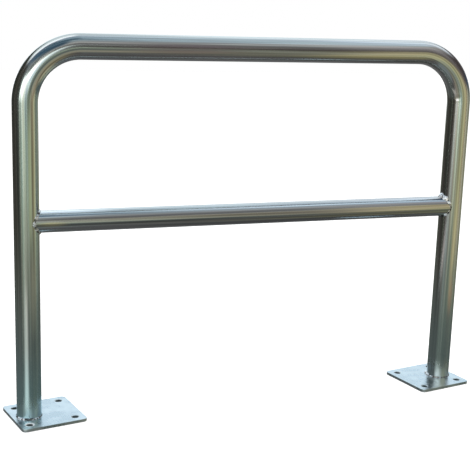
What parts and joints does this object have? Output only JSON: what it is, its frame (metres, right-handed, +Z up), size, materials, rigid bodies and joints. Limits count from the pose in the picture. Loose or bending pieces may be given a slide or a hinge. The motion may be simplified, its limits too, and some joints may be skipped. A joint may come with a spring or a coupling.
{
  "type": "safety barrier",
  "caption": "Free-standing safety barrier: a round steel tube hoop with a middle rail, welded to drilled square base plates and finished in bright zinc.",
  "frame": {"origin": "on the ground under the middle of the barrier, midway between the posts", "axes": "+X along the barrier to its right post, +Y to its back, +Z up"},
  "size_m": [1.3458, 0.2182, 1],
  "materials": {
    "hoop_zinc": "bright zinc plating with fine draw lines along the tube and a faint green, tan and blue tint",
    "rail_zinc": "bright zinc plating with fine draw lines along the tube",
    "plate_zinc": "bright zinc plating with a pale blue tint on rolled plate",
    "weld_zinc": "zinc plated weld bead, duller than the tube"
  },
  "bodies": {
    "root": {"hoop": "hoop_zinc", "middle_rail": "rail_zinc", "left_base_plate": "plate_zinc", "right_base_plate": "plate_zinc", "left_foot_weld": "weld_zinc", "right_foot_weld": "weld_zinc", "left_rail_weld": "weld_zinc", "right_rail_weld": "weld_zinc"}
  },
  "joints": []
}
